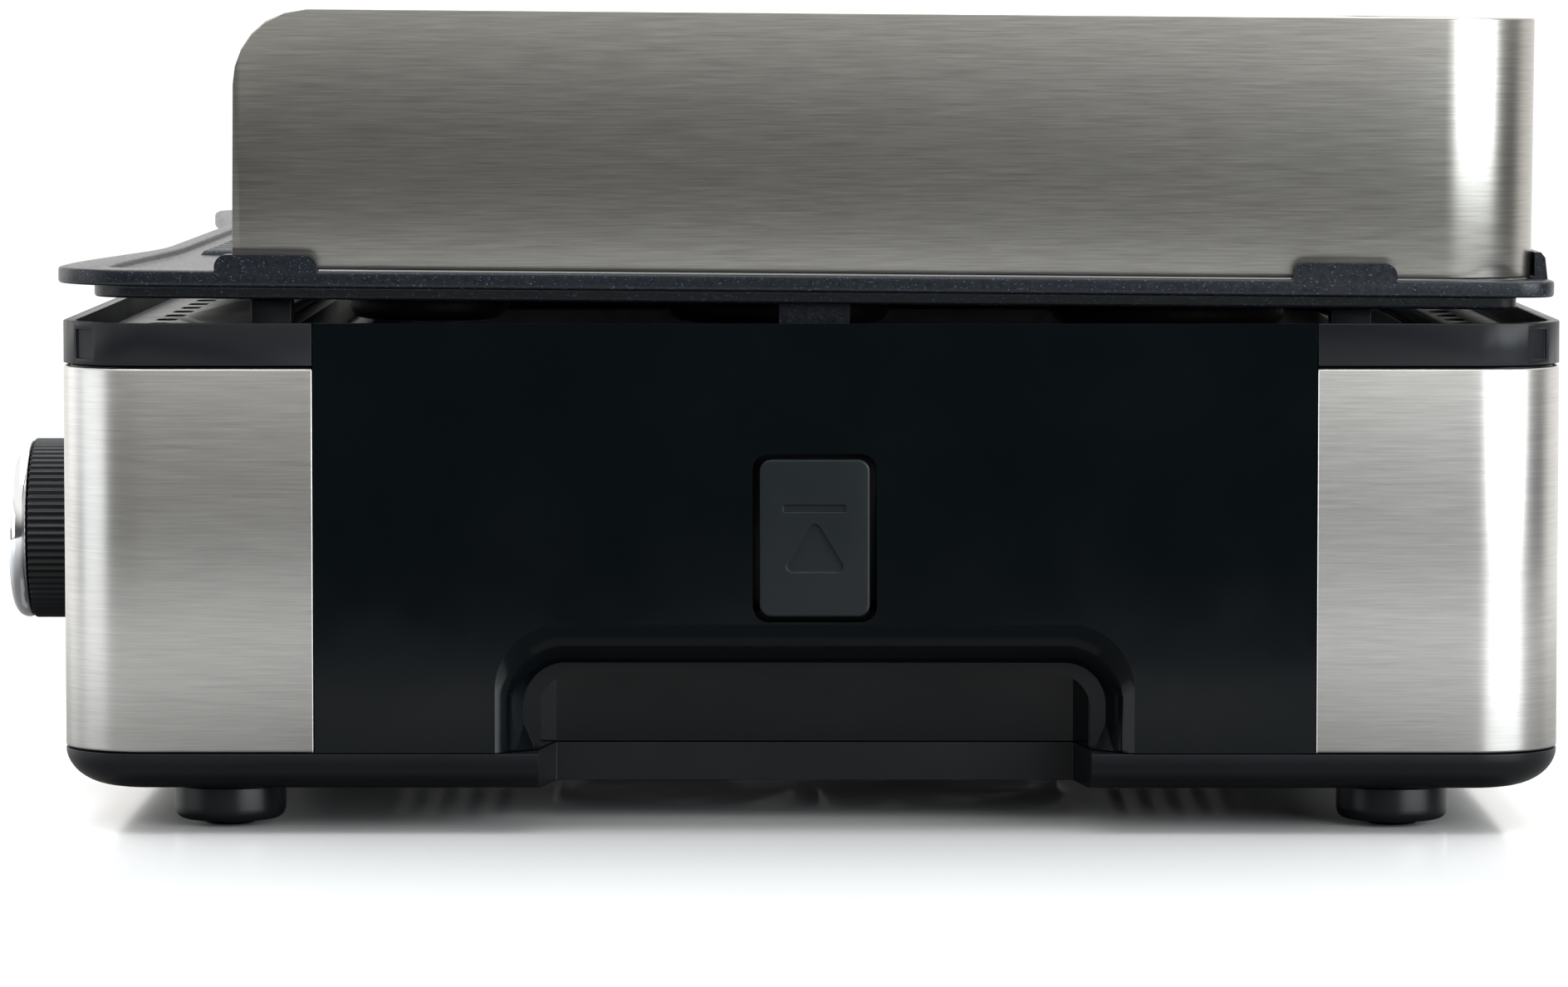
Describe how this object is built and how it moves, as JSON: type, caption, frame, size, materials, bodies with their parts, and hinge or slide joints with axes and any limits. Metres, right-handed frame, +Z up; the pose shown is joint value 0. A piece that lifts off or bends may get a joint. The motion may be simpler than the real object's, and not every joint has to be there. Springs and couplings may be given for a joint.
{
  "type": "smokeless electric grill",
  "caption": "Tabletop electric grill: ribbed cast plate with a wrap-round splash guard over a steel-clad base with drip tray, extractor fan, side release buttons and carry grips.",
  "frame": {"origin": "on the table plane, under the middle of the base", "axes": "+Z up, -Y the front with the knob, +X the right-hand side as the user faces the front"},
  "size_m": [0.47, 0.363, 0.1861],
  "materials": {
    "moulded_plastic": "fine satin texture, black",
    "brushed_steel": "horizontal brushed grain",
    "trim_plastic": "matte charcoal",
    "gloss_black": "polished, blue-black",
    "button_plastic": "satin charcoal",
    "rubber": "matte",
    "zinc": "zinc plated, dull",
    "chrome": "bright plated",
    "cast_coating": "cast aluminium under a dark speckled release coating",
    "element_sheath": "heat-darkened steel sheath",
    "aluminium": "pressed sheet, satin",
    "ceramic": "unglazed",
    "brass": "turned",
    "board": "solder mask",
    "lamp_lens": "clear red"
  },
  "bodies": {
    "base": {"bottom_cover": "moulded_plastic", "foot_fr": "moulded_plastic", "foot_fl": "moulded_plastic", "foot_rr": "moulded_plastic", "foot_rl": "moulded_plastic", "foot_pad_fr": "rubber", "foot_pad_fl": "rubber", "foot_pad_rr": "rubber", "foot_pad_rl": "rubber", "base_screw_fr": "zinc", "base_screw_fl": "zinc", "base_screw_rr": "zinc", "base_screw_rl": "zinc", "chassis": "moulded_plastic", "tub": "moulded_plastic", "front_steel_wrap": "brushed_steel", "rear_steel_wrap": "brushed_steel", "front_trim": "trim_plastic", "rear_trim": "trim_plastic", "side_panel_right": "gloss_black", "side_panel_left": "gloss_black", "release_guide_right": "moulded_plastic", "release_guide_left": "moulded_plastic", "thermostat": "ceramic", "dial_ring": "chrome", "fan_switch": "moulded_plastic", "indicator_lamp": "lamp_lens", "mains_inlet": "moulded_plastic", "inlet_pin_line": "brass", "inlet_pin_neutral": "brass", "inlet_pin_earth": "brass", "fan_duct": "moulded_plastic", "motor_bracket": "zinc", "fan_motor": "zinc", "fan_cover": "moulded_plastic", "control_board": "board", "heater_socket": "ceramic"},
    "knob": {"knob_shaft": "zinc", "knob_body": "moulded_plastic", "knob_cap": "chrome"},
    "fan_button": {"fan_button": "button_plastic"},
    "release_right": {"release_button_right": "button_plastic", "latch_right": "zinc"},
    "release_left": {"release_button_left": "button_plastic", "latch_left": "zinc"},
    "plate": {"grill_plate": "cast_coating", "heating_element": "element_sheath", "heater_clip_1": "zinc", "heater_clip_2": "zinc", "heater_clip_3": "zinc", "heater_clip_4": "zinc", "heater_plug": "ceramic"},
    "guard": {"splash_guard": "brushed_steel"},
    "tray": {"drip_tray": "aluminium"},
    "impeller": {"fan_impeller": "moulded_plastic", "fan_shaft": "zinc"}
  },
  "joints": [
    {"name": "knob_turn", "type": "hinge", "parent": "base", "child": "knob", "pos_m": [0.13, -0.18, 0.0617], "axis": [0, 1, 0], "range_deg": [0, 270]},
    {"name": "fan_press", "type": "slide", "parent": "base", "child": "fan_button", "axis": [0, 1, 0], "range_m": [0, 0.0025], "stiffness_N_per_m": 300, "springref_m": -0.001},
    {"name": "release_right_press", "type": "slide", "parent": "base", "child": "release_right", "axis": [-1, 0, 0], "range_m": [0, 0.003], "stiffness_N_per_m": 400, "springref_m": -0.001},
    {"name": "release_left_press", "type": "slide", "parent": "base", "child": "release_left", "axis": [1, 0, 0], "range_m": [0, 0.003], "stiffness_N_per_m": 400, "springref_m": -0.001},
    {"name": "plate_lift", "type": "slide", "parent": "base", "child": "plate", "axis": [0, 0, 1], "range_m": [0, 0.12]},
    {"name": "guard_lift", "type": "slide", "parent": "plate", "child": "guard", "axis": [0, 0.0084, 1], "range_m": [0, 0.09]},
    {"name": "tray_lift", "type": "slide", "parent": "base", "child": "tray", "axis": [0, 0, 1], "range_m": [0, 0.06]},
    {"name": "fan_spin", "type": "hinge", "parent": "base", "child": "impeller", "pos_m": [0.085, 0, 0.025], "axis": [0, 0, 1], "continuous": true}
  ],
  "couplings": [
    {"joint": "tray_lift", "follows": "plate_lift", "ratio": 0.5}
  ]
}
